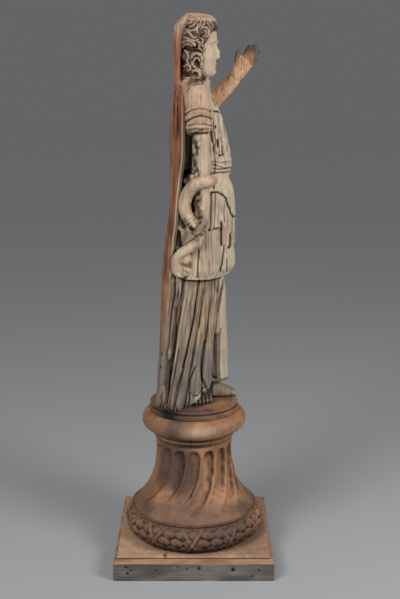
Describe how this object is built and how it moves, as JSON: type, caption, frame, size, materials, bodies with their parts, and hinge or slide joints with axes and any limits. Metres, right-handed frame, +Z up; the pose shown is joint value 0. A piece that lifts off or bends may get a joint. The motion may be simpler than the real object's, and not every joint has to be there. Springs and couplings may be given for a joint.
{
  "type": "ship figurehead",
  "caption": "Carved wooden ship's figurehead: a robed woman with one arm raised and a serpent in the other hand, on a fluted column base.",
  "frame": {"origin": "centre of the plinth board's underside", "axes": "+Z up, +X the way the figure faces, +Y to the figure's left, where the raised arm is"},
  "size_m": [0.52, 0.52, 1.7832],
  "materials": {
    "weathered_carving": "weathered bare wood with worn pale paint residue",
    "bare_wood": "reddish oiled wood, dry sheen",
    "waxed_stand": "old wax, stained dark in the hollows",
    "grey_board": "greyed, matt, nail holes"
  },
  "bodies": {
    "root": {"figure": "weathered_carving", "raised_left_arm": "bare_wood", "standing_disc": "waxed_stand", "column_base": "waxed_stand", "plinth_block": "waxed_stand", "plinth_board": "grey_board"}
  },
  "joints": []
}
